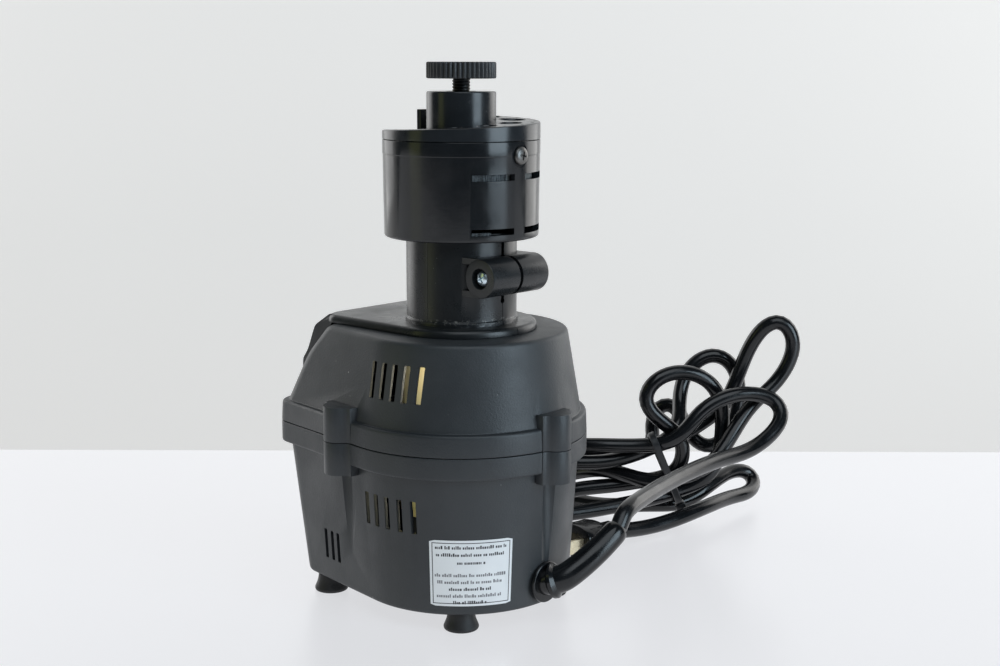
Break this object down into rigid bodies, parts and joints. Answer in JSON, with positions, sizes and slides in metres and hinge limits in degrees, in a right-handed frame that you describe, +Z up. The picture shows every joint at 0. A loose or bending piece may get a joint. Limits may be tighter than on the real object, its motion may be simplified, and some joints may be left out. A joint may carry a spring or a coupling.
{
  "type": "drill bit sharpener",
  "caption": "Bench-top drill-bit sharpener: two-shell motor base, clamped neck, round grinding head with spiral guide cap and fluted depth knob, tied mains cord with plug.",
  "frame": {"origin": "on the table surface, at the centre of the footprint of the machine without its cord", "axes": "+Z up, +X towards the side with the notice, -Y towards the switch, +Y towards the cord exit"},
  "size_m": [0.2655, 0.1578, 0.2275],
  "materials": {
    "housing": "fine spark texture, satin",
    "bracket": "gloss",
    "head": "semi gloss",
    "knob": "satin",
    "rubber": "matt",
    "cord": "satin PVC",
    "screw_zinc": "bright zinc plate",
    "screw_dark": "dull stainless",
    "steel": "turned",
    "can": "yellow zinc plate",
    "core": "lacquered laminations",
    "magnet": "sintered",
    "copper": "turned copper",
    "brass": "plain",
    "stone": "abrasive",
    "felt": "dusty felt",
    "nylon": "moulded",
    "paper": "satin paper film",
    "board": "lacquer",
    "carbon": "sintered",
    "tie": "moulded nylon"
  },
  "bodies": {
    "root": {"lower_housing": "housing", "upper_housing": "housing", "neck_bracket": "bracket", "clamp_screw": "screw_zinc", "clamp_nut": "steel", "rubber_foot_1": "rubber", "rubber_foot_2": "rubber", "rubber_foot_3": "rubber", "rubber_foot_4": "rubber", "housing_screw_1": "screw_zinc", "housing_screw_2": "screw_zinc", "housing_screw_3": "screw_zinc", "housing_screw_4": "screw_zinc", "notice_label": "paper", "motor_can": "can", "motor_end_bottom": "can", "motor_end_top": "can", "motor_bearing_bottom": "steel", "motor_bearing_top": "steel", "motor_magnet_1": "magnet", "motor_magnet_2": "magnet", "brush_1": "carbon", "brush_2": "carbon", "rectifier_board": "board", "switch_body": "knob", "strain_relief": "cord", "power_cord": "cord", "cord_tie": "tie", "plug_body": "cord", "plug_blade_1": "brass", "plug_blade_2": "brass"},
    "rotor": {"armature_shaft": "steel", "armature_core": "core", "commutator": "copper", "cooling_fan": "knob", "drive_dog": "steel"},
    "liner": {"neck_liner": "nylon"},
    "head": {"head_housing": "head", "head_cap": "head", "head_screw_1": "screw_dark", "head_screw_2": "screw_dark", "dust_filter": "felt", "adjuster_insert": "brass", "spindle_bush": "brass"},
    "quill": {"spindle_quill": "steel"},
    "wheel": {"wheel_spindle": "steel", "grinding_wheel": "stone", "wheel_nut": "steel"},
    "knob": {"adjust_stem": "steel", "adjust_knob": "knob"},
    "rocker": {"switch_rocker": "bracket"}
  },
  "joints": [
    {"name": "rotor_spin", "type": "hinge", "parent": "root", "child": "rotor", "pos_m": [0, 0.00665, 0.08], "axis": [0, 0, 1], "continuous": true},
    {"name": "head_lift", "type": "slide", "parent": "root", "child": "liner", "axis": [0, 0, 1], "range_m": [0, 0.03]},
    {"name": "head_swivel", "type": "hinge", "parent": "liner", "child": "head", "pos_m": [0, 0.00665, 0.157], "axis": [0, 0, 1], "range_deg": [-180, 180]},
    {"name": "quill_travel", "type": "slide", "parent": "head", "child": "quill", "axis": [0, 0, 1], "range_m": [-0.004, 0.0025]},
    {"name": "knob_turn", "type": "hinge", "parent": "quill", "child": "knob", "pos_m": [0, 0.00665, 0.224], "axis": [0, 0, 1], "range_deg": [-1156, 724]},
    {"name": "wheel_spin", "type": "hinge", "parent": "quill", "child": "wheel", "pos_m": [0, 0.00665, 0.18], "axis": [0, 0, 1], "continuous": true},
    {"name": "rocker_tilt", "type": "hinge", "parent": "root", "child": "rocker", "pos_m": [0, -0.06325, 0.0952], "axis": [0, 0, 1], "range_deg": [0, 16]}
  ],
  "couplings": [
    {"joint": "knob_turn", "follows": "quill_travel", "rad_per_m": 5026.5},
    {"joint": "wheel_spin", "follows": "rotor_spin", "ratio": 1}
  ]
}
